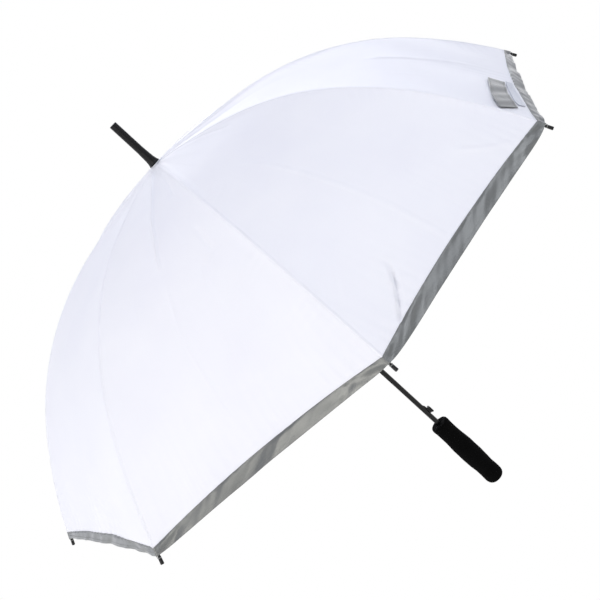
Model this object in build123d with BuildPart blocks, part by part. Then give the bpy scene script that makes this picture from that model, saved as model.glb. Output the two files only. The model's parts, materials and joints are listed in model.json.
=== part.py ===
from build123d import *
from math import atan2, cos, degrees, hypot, radians, sin
import os

# Straight automatic umbrella, open. Millimetres, +Z up along the shaft towards the ferrule.
# The origin is on the shaft's axis, at the middle of the grip's swell, where a hand or a clamp holds it.

# canopy and frame
rib_count = 8
first_azimuth = 22.5  # rib 1; the first gore's middle is then at 45 degrees
apex_height = 682.0  # top face of the cloth on the axis
start_slope = 2.9  # of the meridian, in degrees below level
meridian_arcs = [(164.0, 8.0), (275.0, 35.7), (167.0, 12.4)]  # length and turn of each tangent arc
cloth_thickness = 0.6
seam_gap = 0.3  # from each rib's plane to the cloth's edge
hub_hole_radius = 6.0
rim_inset = 0.5  # how far the rim is pulled in at mid-gore, seen from above
border_at_rib = 9.5  # width of the grey border along a rib
border_at_middle = 8.4  # width of the grey border at mid-gore, seen from above
fold_angle = 58.0  # each rib's turn from open to closed

# closing strap on gore 1 and its patch, seen from above: x is outwards at mid-gore, y along the rim
strap_gore = 1
strap_corners = [
    (432.0, -31.0), (444.4, -38.0), (443.6, -100.0), (447.2, -152.0), (433.2, -170.0), (430.2, -112.0)
]
strap_heights = (0.2, 1.1)  # underside and top face above the cloth
patch_corners = [
    (446.4, -22.5), (450.6, -24.0), (451.7, -80.0), (453.6, -135.0), (448.4, -137.0), (445.6, -92.0)
]
patch_heights = (0.2, 0.8)

# ribs, tips and stretchers
rib_depth = 2.6
rib_width = 2.6
rib_wall = 0.45
rib_drop = 1.4  # from the cloth's top face to the rib's top
rib_center = rib_drop + rib_depth / 2
hub_ring_radius = 8.5  # both wire rings, in the crown and in the runner
eye_radius = 0.9
wire_radius = 0.6
joint_at = 271.0  # where the stretcher meets the rib, along the meridian
rivet_radius = 0.7
rivet_play = 0.05
tip_gap = 1.2  # from the cloth's corner to the tip's shoulder
tip_length = 10.4
tip_radius = 2.5
tip_socket = 7.0
stretcher_depth = 3.0
stretcher_width = 2.2
fork_inner = 3.0
fork_outer = 4.8
fork_length = 18.0
fork_reach = 9.0  # clear length of the fork's ears

# shaft and what it carries
shaft_radius = 4.0
shaft_bore = 3.2
shaft_bottom = -52.0
fixed_fit = 0.03  # between fixed pieces on the shaft
crown_radius = 11.0
crown_drop = 1.5
crown_height = 8.0
crown_slot = 3.1
hub_wall_radius = 6.5
runner_fit = 0.06
runner_head = 3.5
sleeve_length = 75.0
flange_cone = 6.0  # height and widening of the cone under the runner's flange
flange_cone_step = 1.2
skirt_depth = 9.0
skirt_bore = 5.85
thumb_ring_radius = 9.2
thumb_ring_height = 4.0
cross_pin_drop = 12.0
cross_pin_radius = 0.9
track_width = 2.0
track_spare = 2.0  # beyond the cross pin at both ends of its travel
button_window = (12.0, 3.0)  # how much longer than the button, and how far its middle is above it
stop_ring_radius = 5.6
stop_ring_height = 4.0
washer_radius = 10.4  # the cloth washer under the ferrule
washer_play = 0.1
ferrule_base_height = 1.6
ferrule_length = 80.9
ferrule_tip_radius = 5.9
ferrule_flare_radius = 9.0
ferrule_taper = 44.0  # length of the trumpet below the straight part
ferrule_round = 1.2
ferrule_socket = 30.2  # how deep the shaft goes in

# button and springs
button_azimuth = first_azimuth + 45.0
button_height = 100.0
button_length = 11.5
button_width = 2.4
button_proud = 6.2
button_travel = 2.5
button_nose = (1.6, 3.6, 8.2)  # how far it stands out, and its face's and its slope's height above the pad
button_tail = 1.0  # where its tail ends inside the tube
button_pad = 3.5  # thickness of the thumb pad, which stays clear of the tube when pressed
button_spring_radii = (1.2, 0.7)  # outside and inside of the coil
button_spring_start = -2.7  # at the tube's far wall
seat_height = 130.0
seat_half = 3.0
drive_spring_radius = 2.9
spring_wall = 0.7
spring_play = 0.1  # below the cross pin

# grip, from its bottom end to its top end
grip_bottom = -70.0
grip_top = 72.0
grip_swell_radius = 16.9
grip_clamp_length = 24.0
core_radius = 11.0
core_bottom = -64.0
core_fit = 0.05
plug_radius = 6.9
plug_height = 4.0
plug_recess = 10.0

os.makedirs("parts", exist_ok=True)
half_gore = 180.0 / rib_count
gore_cos = cos(radians(half_gore))
gore_sin = sin(radians(half_gore))
meridian_length = sum(length for length, turn in meridian_arcs)


def write(piece, name):
    piece.part.label = name
    export_step(piece.part, f"parts/{name}.step")


def rib_azimuth(number):
    return first_azimuth + 360.0 / rib_count * (number - 1)


def radial_plane(azimuth):
    """Plane through the axis: its X points outwards, its Y points up."""
    a = radians(azimuth)
    return Plane(origin=(0, 0, 0), x_dir=(cos(a), sin(a), 0), z_dir=(sin(a), -cos(a), 0))


def level_plane(azimuth, height):
    a = radians(azimuth)
    return Plane(origin=(0, 0, height), x_dir=(cos(a), sin(a), 0), z_dir=(0, 0, 1))


def slope_at(along):
    """Degrees below level at a distance along the cloth's meridian from the apex."""
    slope = start_slope
    for length, turn in meridian_arcs:
        step = min(along, length)
        slope += turn * step / length
        along -= step
    return slope


def meridian(along, depth=0.0):
    """Radius and height of a point on the meridian over a rib, or at a depth below it."""
    r, z, slope, left = 0.0, apex_height, radians(start_slope), along
    for number, (length, turn) in enumerate(meridian_arcs):
        last = number == len(meridian_arcs) - 1
        step = left if last else min(left, length)
        radius = length / radians(turn)
        r += radius * (sin(slope + step / radius) - sin(slope))
        z -= radius * (cos(slope) - cos(slope + step / radius))
        slope += step / radius
        left -= step
    return r - depth * sin(slope), z - depth * cos(slope)


def add_meridian(start, depth):
    """Draw the meridian's arcs, at a depth below the cloth, into the open BuildLine."""
    at, first, last = meridian(start, depth), None, None
    slope, left = start_slope, start
    for length, turn in meridian_arcs:
        skipped = min(left, length)
        left -= skipped
        slope += turn * skipped / length
        sweep_angle = turn * (length - skipped) / length
        heading = (cos(radians(slope)), -sin(radians(slope)))
        last = JernArc(at, heading, length / radians(turn) - depth, -sweep_angle)
        first = first or last
        at = last @ 1
        slope += sweep_angle
    return first @ 0, last @ 1


# the two wire rings' heights, and the joint between rib and stretcher
pivot_start = hub_ring_radius
for step in range(4):
    pivot_start += hub_ring_radius - meridian(pivot_start, rib_center)[0]
pivot_height = meridian(pivot_start, rib_center)[1]
joint_radius, joint_height = meridian(joint_at, rib_center)
arm_length = hypot(joint_radius - hub_ring_radius, pivot_height - joint_height)
arm_slope = degrees(atan2(pivot_height - joint_height, joint_radius - hub_ring_radius))
runner_height = 2 * joint_height - pivot_height
runner_closed = pivot_height - 2 * arm_length * sin(radians(arm_slope + fold_angle))
cross_pin_height = runner_height - cross_pin_drop
cross_pin_closed = runner_closed - cross_pin_drop


def make_rib(number):
    azimuth = rib_azimuth(number)
    end_slope = radians(slope_at(meridian_length))
    inside_tip = tip_gap + tip_socket - rivet_play
    end_step = (inside_tip * cos(end_slope), -inside_tip * sin(end_slope))
    with BuildPart() as rib:
        with BuildSketch(radial_plane(azimuth)):
            with BuildLine():
                top_start, top_end = add_meridian(pivot_start, rib_drop)
                low_start, low_end = add_meridian(pivot_start, rib_drop + rib_depth)
                top_tip = Line(top_end, top_end + Vector(*end_step)) @ 1
                low_tip = Line(low_end, low_end + Vector(*end_step)) @ 1
                Line(top_tip, low_tip)
                Line(top_start, low_start)
            make_face()
            with Locations((hub_ring_radius, pivot_height)):
                Circle(rib_depth / 2)
        extrude(amount=rib_width / 2, both=True)
        # the channel of the fluted section, open towards the shaft
        with BuildSketch(radial_plane(azimuth)):
            with BuildLine():
                roof_start, roof_end = add_meridian(pivot_start + 6, rib_drop + rib_wall)
                open_start, open_end = add_meridian(pivot_start + 6, rib_drop + rib_depth + 1)
                Line(roof_start, open_start)
                Line(roof_end, open_end)
            make_face()
        extrude(amount=rib_width / 2 - rib_wall, both=True, mode=Mode.SUBTRACT)
        with BuildSketch(radial_plane(azimuth)):
            with Locations((hub_ring_radius, pivot_height)):
                Circle(eye_radius)
            with Locations((joint_radius, joint_height)):
                Circle(rivet_radius + rivet_play)
        extrude(amount=rib_width, both=True, mode=Mode.SUBTRACT)
    write(rib, f"rib_{number}")


def make_tip(number):
    """Moulded cap on the rib's end, with a blunt rounded nose."""
    r, z = meridian(meridian_length, rib_center)
    slope = radians(slope_at(meridian_length))
    a = radians(rib_azimuth(number))
    outward = Vector(cos(slope) * cos(a), cos(slope) * sin(a), -sin(slope))
    base = Vector(r * cos(a), r * sin(a), z) + outward * tip_gap
    across = Vector(-sin(a), cos(a), 0)
    with BuildPart() as tip:
        with BuildSketch(Plane(origin=base, x_dir=across, z_dir=outward)):
            Circle(tip_radius)
        extrude(amount=tip_length)
        fillet(tip.faces().sort_by(SortBy.DISTANCE)[-1].edges(), tip_radius * 0.35)
        with BuildSketch(Plane(origin=base, x_dir=across, z_dir=outward)):
            Rectangle(rib_width + 2 * rivet_play, rib_depth + 2 * rivet_play)
        extrude(amount=tip_socket, mode=Mode.SUBTRACT)
    write(tip, f"tip_{number}")


def strip(start, end, depth):
    """A straight strip with round ends, in the open sketch."""
    SlotCenterPoint((start + end) / 2, end, depth)


def make_stretcher(number):
    plane = radial_plane(rib_azimuth(number))
    start = Vector(hub_ring_radius, runner_height)
    joint = Vector(joint_radius, joint_height)
    along = (joint - start).normalized()
    fork_start = joint - along * fork_length
    with BuildPart() as stretcher:
        with BuildSketch(plane):
            strip(start, joint - along * (fork_reach + 2), stretcher_depth)
        extrude(amount=stretcher_width / 2, both=True)
        with BuildSketch(plane):
            strip(fork_start, joint, stretcher_depth)
        extrude(amount=fork_outer / 2, both=True)
        # the gap between the fork's ears
        with BuildSketch(plane):
            strip(joint - along * (fork_reach - 3), joint + along * 6, stretcher_depth + 3)
        extrude(amount=fork_inner / 2, both=True, mode=Mode.SUBTRACT)
        # the stem's channel, open downwards
        drop = Vector(along.Y, -along.X) * (stretcher_depth / 2)
        with BuildSketch(plane):
            strip(start + along * 10 + drop, fork_start - along * 3 + drop, stretcher_depth)
        extrude(amount=stretcher_width / 2 - rib_wall, both=True, mode=Mode.SUBTRACT)
        with BuildSketch(plane):
            with Locations(start):
                Circle(eye_radius)
        extrude(amount=stretcher_width, both=True, mode=Mode.SUBTRACT)
        # the rivet through both ears
        with BuildSketch(plane):
            with Locations(joint):
                Circle(rivet_radius)
        extrude(amount=fork_outer / 2, both=True)
    write(stretcher, f"stretcher_{number}")


def edge_point(radius, side):
    """A point of a gore's outline beside a rib, seen from above; side is 1 or -1."""
    x = radius * gore_cos + seam_gap * gore_sin
    y = radius * gore_sin - seam_gap * gore_cos
    return x, side * y


def cross_line(depth):
    """The meridian at mid-gore: cloth is straight from rib to rib, so it lies nearer the axis."""
    steps = 14
    points = [meridian(4 + (meridian_length + 4) * n / steps, depth) for n in range(steps + 1)]
    return [(r * gore_cos, z) for r, z in points]


def make_cloth(name, middle, upper, lower, outline):
    """A piece of cloth on a gore, between two depths, cut to an outline seen from above."""
    with BuildPart() as cloth:
        with BuildSketch(radial_plane(middle)):
            with BuildLine():
                top = Spline(*cross_line(upper))
                low = Spline(*cross_line(lower))
                Line(top @ 0, low @ 0)
                Line(top @ 1, low @ 1)
            make_face()
        extrude(amount=rim_radius * gore_sin + 5, both=True)
        with BuildSketch(level_plane(middle, 0)):
            outline()
        extrude(amount=apex_height + 50, mode=Mode.INTERSECT)
    write(cloth, name)


rim_radius = meridian(meridian_length)[0]
border_radius = meridian(meridian_length - border_at_rib)[0]
rim_middle = rim_radius * gore_cos - rim_inset
border_middle = rim_middle - border_at_middle


def gore_outline():
    with BuildLine() as outline:
        ThreePointArc(edge_point(border_radius, 1), (border_middle, 0), edge_point(border_radius, -1))
        ThreePointArc(edge_point(hub_hole_radius, 1), (hub_hole_radius, 0), edge_point(hub_hole_radius, -1))
        for side in (1, -1):
            Line(edge_point(hub_hole_radius, side), edge_point(border_radius, side))
    make_face(outline.edges())


def border_outline():
    with BuildLine() as outline:
        ThreePointArc(edge_point(border_radius, 1), (border_middle, 0), edge_point(border_radius, -1))
        ThreePointArc(edge_point(rim_radius, 1), (rim_middle, 0), edge_point(rim_radius, -1))
        for side in (1, -1):
            Line(edge_point(border_radius, side), edge_point(rim_radius, side))
    make_face(outline.edges())


def strap_outline():
    Polygon(*strap_corners, align=None)


def patch_outline():
    Polygon(*patch_corners, align=None)


def cut_rib_slots(height, low, high):
    """Eight radial slots in a hub, and the groove for its wire ring at a height."""
    for number in range(1, rib_count + 1):
        with BuildSketch(level_plane(rib_azimuth(number), low)) as slot:
            with Locations((hub_wall_radius + crown_radius / 2, 0)):
                Rectangle(crown_radius, crown_slot)
        extrude(slot.sketch, amount=high - low, mode=Mode.SUBTRACT)
    with BuildSketch(Plane.XZ) as groove:
        with Locations((hub_ring_radius, height)):
            Circle(wire_radius + rivet_play)
    revolve(groove.sketch, axis=Axis.Z, mode=Mode.SUBTRACT)


def make_wire_ring(name, height):
    with BuildPart() as ring:
        with BuildSketch(Plane.XZ):
            with Locations((hub_ring_radius, height)):
                Circle(wire_radius)
        revolve(axis=Axis.Z)
    write(ring, name)


def make_crown():
    """The notched hub that holds the ribs' inner ends, fixed on the shaft."""
    top = apex_height - crown_drop
    with BuildPart() as crown:
        with BuildSketch(Plane.XY.offset(top - crown_height)):
            Circle(crown_radius)
        extrude(amount=crown_height)
        chamfer(crown.faces().sort_by(Axis.Z)[0].edges(), 1.0)
        with BuildSketch(Plane.XY.offset(top - crown_height)):
            Circle(shaft_radius + fixed_fit)
        extrude(amount=crown_height, mode=Mode.SUBTRACT)
        cut_rib_slots(pivot_height, top - crown_height - 1, top + 1)
    write(crown, "crown")


def make_runner():
    """The sliding hub that carries the stretchers, with a long sleeve and a thumb ring."""
    top = runner_height + runner_head
    bottom = runner_height - sleeve_length
    with BuildPart() as runner:
        with BuildSketch(Plane.XY.offset(runner_height - runner_head)):
            Circle(crown_radius)
        extrude(amount=2 * runner_head)
        with BuildSketch(Plane.XY.offset(bottom)):
            Circle(hub_wall_radius)
        extrude(amount=top - bottom)
        with BuildSketch(Plane.XY.offset(runner_height - runner_head - flange_cone)):
            Circle(hub_wall_radius + flange_cone_step)
        extrude(amount=flange_cone, taper=-18)
        with BuildSketch(Plane.XY.offset(bottom)):
            Circle(thumb_ring_radius)
        extrude(amount=thumb_ring_height)
        fillet(runner.faces().sort_by(Axis.Z)[0].edges(), 1.2)
        with BuildSketch(Plane.XY.offset(bottom - 1)):
            Circle(shaft_radius + runner_fit)
        extrude(amount=top - bottom + 2, mode=Mode.SUBTRACT)
        # the skirt's inside, which the button's nose enters when the umbrella is closed
        with BuildSketch(Plane.XY.offset(bottom)):
            Circle(skirt_bore)
        extrude(amount=skirt_depth, mode=Mode.SUBTRACT)
        with BuildSketch(Plane.XZ):
            with Locations((0, cross_pin_height)):
                Circle(cross_pin_radius)
        extrude(amount=crown_radius, both=True, mode=Mode.SUBTRACT)
        cut_rib_slots(runner_height, runner_height - runner_head - 1, top + 1)
    write(runner, "runner")


def make_cross_pin():
    with BuildPart() as pin:
        with BuildSketch(Plane.XZ):
            with Locations((0, cross_pin_height)):
                Circle(cross_pin_radius)
        extrude(amount=hub_wall_radius - 0.2, both=True)
    write(pin, "cross_pin")


def make_shaft():
    """Steel tube with a track for the cross pin on two sides, and a window for the button."""
    top = apex_height + ferrule_base_height + ferrule_socket - 0.2
    with BuildPart() as shaft:
        with BuildSketch(Plane.XY.offset(shaft_bottom)):
            Circle(shaft_radius)
            Circle(shaft_bore, mode=Mode.SUBTRACT)
        extrude(amount=top - shaft_bottom)
        track_bottom = cross_pin_closed - track_spare
        track_top = cross_pin_height + track_spare
        with BuildSketch(Plane.XZ):
            with Locations((0, (track_bottom + track_top) / 2)):
                SlotOverall(track_top - track_bottom, track_width, rotation=90)
        extrude(amount=shaft_radius + 1, both=True, mode=Mode.SUBTRACT)
        with BuildSketch(radial_plane(button_azimuth)):
            with Locations((shaft_radius, button_height + button_window[1])):
                Rectangle(4, button_length + button_window[0])
        extrude(amount=button_width / 2 + 0.2, both=True, mode=Mode.SUBTRACT)
    write(shaft, "shaft_tube")


def make_ferrule():
    base = apex_height + ferrule_base_height
    tip = base + ferrule_length
    with BuildPart() as ferrule:
        with BuildSketch(Plane.XZ):
            with BuildLine():
                Line((0, base), (ferrule_flare_radius, base))
                Line((ferrule_flare_radius, base), (ferrule_flare_radius, base + 0.7))
                flare = Spline(
                    (ferrule_flare_radius, base + 0.7),
                    (ferrule_tip_radius + 1.9, base + 4.0),
                    (ferrule_tip_radius + 1.0, base + 9.5),
                    (ferrule_tip_radius + 0.4, base + 20),
                    (ferrule_tip_radius, base + ferrule_taper),
                    tangents=((-0.62, 1), (0, 1)),
                )
                Line(flare @ 1, (ferrule_tip_radius, tip - ferrule_round))
                ThreePointArc(
                    (ferrule_tip_radius, tip - ferrule_round),
                    (ferrule_tip_radius - 0.3 * ferrule_round, tip - 0.3 * ferrule_round),
                    (ferrule_tip_radius - ferrule_round, tip),
                )
                Line((ferrule_tip_radius - ferrule_round, tip), (0, tip))
                Line((0, tip), (0, base))
            make_face()
        revolve(axis=Axis.Z)
        with BuildSketch(Plane.XY.offset(base)):
            Circle(shaft_radius + fixed_fit)
        extrude(amount=ferrule_socket, mode=Mode.SUBTRACT)
    write(ferrule, "ferrule")


def make_disc(name, bottom, height, outer, hole):
    """A flat ring on the shaft."""
    with BuildPart() as disc:
        with BuildSketch(Plane.XY.offset(bottom)):
            Circle(outer)
            if hole:
                Circle(hole, mode=Mode.SUBTRACT)
        extrude(amount=height)
        fillet(disc.edges().filter_by(GeomType.CIRCLE).group_by(SortBy.RADIUS)[-1], height * 0.3)
    write(disc, name)


def make_button():
    """Thumb button with a sloped latch nose above it, in the shaft's window."""
    pad_bottom = button_height - button_length / 2
    pad_top = pad_bottom + button_length
    face = shaft_radius + button_proud
    nose, nose_face, nose_top = button_nose
    with BuildPart() as button:
        with BuildSketch(radial_plane(button_azimuth)):
            with BuildLine():
                Polyline(
                    (button_tail, pad_bottom + 0.8),
                    (face - 1.6, pad_bottom + 0.8),
                    (face, pad_bottom + 2.4),
                    (face, pad_top - 2.0),
                    (face - 2.0, pad_top),
                    (shaft_radius + nose, pad_top),
                    (shaft_radius + nose, pad_top + nose_face),
                    (shaft_radius, pad_top + nose_top),
                    (button_tail, pad_top + nose_top),
                    close=True,
                )
            make_face()
        extrude(amount=button_width / 2, both=True)
        # the thumb pad, wider than the window
        with BuildSketch(radial_plane(button_azimuth)):
            with Locations((face - button_pad / 2, button_height)):
                RectangleRounded(button_pad, button_length, button_pad / 2 - 0.1)
        extrude(amount=button_width + 0.8, both=True)
    write(button, "button")


def make_button_spring():
    """The coil spring's outer shape, between the button's tail and the tube's far wall."""
    a = radians(button_azimuth)
    first = button_spring_start
    start = Vector(first * cos(a), first * sin(a), button_height + 1)
    with BuildPart() as spring:
        with BuildSketch(Plane(origin=start, x_dir=(0, 0, 1), z_dir=(cos(a), sin(a), 0))):
            Circle(button_spring_radii[0])
            Circle(button_spring_radii[1], mode=Mode.SUBTRACT)
        extrude(amount=button_tail - button_spring_start)
    write(spring, "button_spring")


def make_drive_spring():
    """The long coil spring's outer shape, from its seat to the cross pin."""
    with BuildPart() as spring:
        bottom = seat_height + seat_half
        with BuildSketch(Plane.XY.offset(bottom)):
            Circle(drive_spring_radius)
            Circle(drive_spring_radius - spring_wall, mode=Mode.SUBTRACT)
        extrude(amount=cross_pin_height - cross_pin_radius - spring_play - bottom)
    write(spring, "drive_spring")


def make_spring_seat():
    """Plug in the tube with a pin across the shaft."""
    with BuildPart() as seat:
        with BuildSketch(Plane.XY.offset(seat_height - seat_half)):
            Circle(shaft_bore - fixed_fit)
        extrude(amount=2 * seat_half)
    write(seat, "spring_seat")


def grip_profile(inner):
    """Half section of the foam grip: lips at both ends, a waist above each, a swell between."""
    clamp = grip_clamp_length / 2
    with BuildLine() as outline:
        lower = Spline(
            (grip_swell_radius, -clamp),
            (15.4, -42),
            (15.9, -57),
            (13.6, -67.6),
            (10.2, grip_bottom),
            tangents=((0, -1), (-1, -0.1)),
        )
        upper = Spline(
            (grip_swell_radius, clamp),
            (15.6, 34),
            (15.3, 54),
            (15.6, 64),
            (13.8, grip_top),
            tangents=((0, 1), (-1, 0.25)),
        )
        Line(lower @ 0, upper @ 0)
        Line(upper @ 1, (inner, grip_top))
        Line((inner, grip_top), (inner, grip_bottom))
        Line((inner, grip_bottom), lower @ 1)
    make_face(outline.edges())


def make_grip():
    with BuildPart() as grip:
        with BuildSketch(Plane.XZ):
            grip_profile(0)
        revolve(axis=Axis.Z)
        with BuildSketch(Plane.XY.offset(core_bottom - core_fit)):
            Circle(core_radius + core_fit)
        extrude(amount=grip_top - core_bottom + 1, mode=Mode.SUBTRACT)
        with BuildSketch(Plane.XY.offset(grip_bottom - 1)):
            Circle(plug_radius + 0.1)
        extrude(amount=plug_recess, mode=Mode.SUBTRACT)
    write(grip, "foam_grip")


def make_core():
    """Moulded handle inside the foam; the shaft is pressed into it."""
    with BuildPart() as core:
        with BuildSketch(Plane.XY.offset(core_bottom)):
            Circle(core_radius)
        extrude(amount=grip_top - 0.8 - core_bottom)
        chamfer(core.faces().sort_by(Axis.Z)[-1].edges(), 0.8)
        with BuildSketch(Plane.XY.offset(shaft_bottom - core_fit)):
            Circle(shaft_radius + fixed_fit)
        extrude(amount=grip_top - shaft_bottom + 1, mode=Mode.SUBTRACT)
    write(core, "handle_core")


for number in range(1, rib_count + 1):
    make_rib(number)
    make_tip(number)
    make_stretcher(number)
    middle = rib_azimuth(number) + half_gore
    make_cloth(f"gore_{number}", middle, 0, cloth_thickness, gore_outline)
    make_cloth(f"border_{number}", middle, 0, cloth_thickness, border_outline)
strap_middle = rib_azimuth(strap_gore) + half_gore
for name, heights, outline in (
    ("closing_strap", strap_heights, strap_outline),
    ("strap_patch", patch_heights, patch_outline),
):
    make_cloth(name, strap_middle, -heights[1], -heights[0], outline)

make_crown()
make_wire_ring("crown_wire", pivot_height)
make_runner()
make_wire_ring("runner_wire", runner_height)
make_cross_pin()
make_shaft()
make_ferrule()
cloth_top = apex_height + washer_play
washer_height = ferrule_base_height - 1.5 * washer_play
make_disc("top_washer", cloth_top, washer_height, washer_radius, shaft_radius + fixed_fit)
ring_bottom = runner_height + runner_head + washer_play
make_disc("stop_ring", ring_bottom, stop_ring_height, stop_ring_radius, shaft_radius + fixed_fit)
make_button()
make_button_spring()
make_drive_spring()
make_spring_seat()
make_grip()
make_core()
make_disc("end_plug", grip_bottom + 0.2, plug_height, plug_radius, 0)
print(f"pivot {pivot_height:.2f} joint {joint_radius:.2f} {joint_height:.2f} arm {arm_length:.2f}")
print(f"runner {runner_height:.2f} closed {runner_closed:.2f} arm slope {arm_slope:.2f}")
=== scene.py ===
import json
import math

import bpy
import numpy as np
from mathutils import Matrix, Vector


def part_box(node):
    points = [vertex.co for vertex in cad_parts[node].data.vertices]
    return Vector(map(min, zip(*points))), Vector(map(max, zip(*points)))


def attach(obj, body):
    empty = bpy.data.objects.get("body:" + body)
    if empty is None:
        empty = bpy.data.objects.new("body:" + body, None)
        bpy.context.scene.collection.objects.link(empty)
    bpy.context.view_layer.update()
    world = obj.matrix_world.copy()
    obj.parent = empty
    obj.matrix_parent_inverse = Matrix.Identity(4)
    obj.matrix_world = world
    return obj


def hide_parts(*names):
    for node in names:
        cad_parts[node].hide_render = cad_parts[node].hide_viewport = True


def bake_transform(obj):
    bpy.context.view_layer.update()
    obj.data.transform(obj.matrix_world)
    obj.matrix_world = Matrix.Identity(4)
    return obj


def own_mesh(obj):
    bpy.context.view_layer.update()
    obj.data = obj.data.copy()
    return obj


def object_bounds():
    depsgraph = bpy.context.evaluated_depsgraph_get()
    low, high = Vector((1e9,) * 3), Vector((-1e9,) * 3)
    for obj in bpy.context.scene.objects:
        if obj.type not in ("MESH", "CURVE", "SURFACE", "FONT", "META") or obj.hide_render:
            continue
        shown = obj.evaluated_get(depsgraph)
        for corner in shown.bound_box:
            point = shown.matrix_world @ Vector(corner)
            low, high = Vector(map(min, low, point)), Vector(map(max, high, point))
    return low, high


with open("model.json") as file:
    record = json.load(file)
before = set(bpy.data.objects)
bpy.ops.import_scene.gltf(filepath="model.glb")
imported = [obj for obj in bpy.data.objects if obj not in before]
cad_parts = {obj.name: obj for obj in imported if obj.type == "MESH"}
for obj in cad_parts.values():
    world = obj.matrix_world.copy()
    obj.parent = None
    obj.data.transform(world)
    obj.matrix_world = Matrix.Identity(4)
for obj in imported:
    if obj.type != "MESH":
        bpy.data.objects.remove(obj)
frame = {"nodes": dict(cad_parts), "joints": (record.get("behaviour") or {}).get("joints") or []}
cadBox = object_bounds()
joints = {joint["name"]: joint for joint in frame["joints"]}
mm = 0.001
ribCount = 8
halfGore = math.pi / ribCount
straightUp = np.array([0, 0, 1.0])
print("frame loaded:", len(frame["nodes"]), "nodes")

# what a user would change about the canopy as a whole; the meridian is the one the ribs are bent to
canopy = {
    "startSlope": 2.9,  # degrees below level at the hub
    "arcs": [(164 * mm, 8.0), (275 * mm, 35.7), (167 * mm, 12.4)],  # length, turn
    "clothTop": -0.1 * mm,  # apex of the cloth, below the washer's underside
    "hubEdge": 6.5 * mm,
    "borderAtRib": 9.5 * mm,
    "borderAtMiddle": 8.4 * mm,  # seen from above
    "rimInset": 0.5 * mm,
    # how far a gore's rim hangs past its own line, at the middle and towards the corners
    "rimReach": {
        8: (3.0, 5.0),
        7: (0.5, 2.0),
        6: (-3.0, -1.0),
        5: (-1.0, 1.0),
        3: (1.5, 3.0),
        1: (-3.0, 0.0),
    },
    "usualReach": (0.0, 1.5),
    "cornerReturn": 12,  # how late the rim comes back to the corner; higher is later
}
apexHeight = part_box("top_washer")[0].z + canopy["clothTop"]
firstAxis = joints["rib_1_fold"]["axis"]
firstAzimuth = math.atan2(-firstAxis[0], firstAxis[1])


def linear(hexColor):
    parts = [int(hexColor[i : i + 2], 16) / 255 for i in (1, 3, 5)]
    return [c / 12.92 if c <= 0.04045 else ((c + 0.055) / 1.055) ** 2.4 for c in parts] + [1.0]


def smooth(t):
    t = np.clip(t, 0, 1)
    return t * t * (3 - 2 * t)


def ribAzimuth(number):
    return firstAzimuth + (number - 1) * 2 * halfGore


def outward(azimuth):
    return np.array([math.cos(azimuth), math.sin(azimuth), 0.0])


def around(azimuth):
    return np.array([-math.sin(azimuth), math.cos(azimuth), 0.0])


def makeMesh(name, points, faces, material, uv=None):
    mesh = bpy.data.meshes.new(name)
    mesh.from_pydata([tuple(p) for p in points], [], faces)
    if uv is not None:
        layer = mesh.uv_layers.new(name="UVMap")
        loopPoint = np.zeros(len(mesh.loops), int)
        mesh.loops.foreach_get("vertex_index", loopPoint)
        layer.data.foreach_set("uv", np.asarray(uv, np.float32)[loopPoint].ravel())
    mesh.materials.append(material)
    mesh.polygons.foreach_set("use_smooth", [True] * len(mesh.polygons))
    piece = bpy.data.objects.new(name, mesh)
    bpy.context.scene.collection.objects.link(piece)
    return piece


def applyAll(piece):
    # turns the evaluated piece into a plain mesh and drops its modifiers
    graph = bpy.context.evaluated_depsgraph_get()
    graph.update()
    mesh = bpy.data.meshes.new_from_object(piece.evaluated_get(graph), depsgraph=graph)
    piece.modifiers.clear()
    old = piece.data
    piece.data = mesh
    mesh.name = piece.name
    if old.users == 0:
        bpy.data.meshes.remove(old)
    return piece


def gridFaces(rows, columns, closed=False):
    faces = []
    for i in range(rows - 1):
        for j in range(columns if closed else columns - 1):
            k = (j + 1) % columns
            a, b = i * columns + j, i * columns + k
            faces.append((a, a + columns, b + columns, b))
    return faces


def lathe(name, profile, material, origin=(0, 0, 0), axis=(0, 0, 1), sides=48, scallop=None):
    # profile is (radius, height) pairs from the bottom end to the top end, closed flat at both
    z = Vector(axis).normalized()
    x = z.orthogonal().normalized()
    y = z.cross(x)
    points, uv = [], []
    for radius, height in profile:
        for n in range(sides):
            a = 2 * math.pi * n / sides
            r = radius * (scallop(radius, a) if scallop else 1)
            points.append(Vector(origin) + x * (r * math.cos(a)) + y * (r * math.sin(a)) + z * height)
            uv.append((a * 0.01, height))
    faces = [tuple(reversed(f)) for f in gridFaces(len(profile), sides, closed=True)]
    faces.append(tuple(reversed(range(sides))))
    faces.append(tuple(range((len(profile) - 1) * sides, len(profile) * sides)))
    return makeMesh(name, points, faces, material, uv)


def addNode(tree, kind, settings=None, links=None):
    node = tree.nodes.new(kind)
    for name, value in (settings or {}).items():
        if isinstance(name, int) or name in node.inputs:
            node.inputs[name].default_value = value
        else:
            setattr(node, name, value)
    for name, source in (links or {}).items():
        tree.links.new(source, node.inputs[name])
    return node


def newMaterial(name, settings):
    material = bpy.data.materials.new(name)
    material.use_nodes = True
    tree = material.node_tree
    tree.nodes.clear()
    shader = addNode(tree, "ShaderNodeBsdfPrincipled", settings)
    addNode(tree, "ShaderNodeOutputMaterial", {}, {"Surface": shader.outputs["BSDF"]})
    return material, tree, shader


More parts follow.
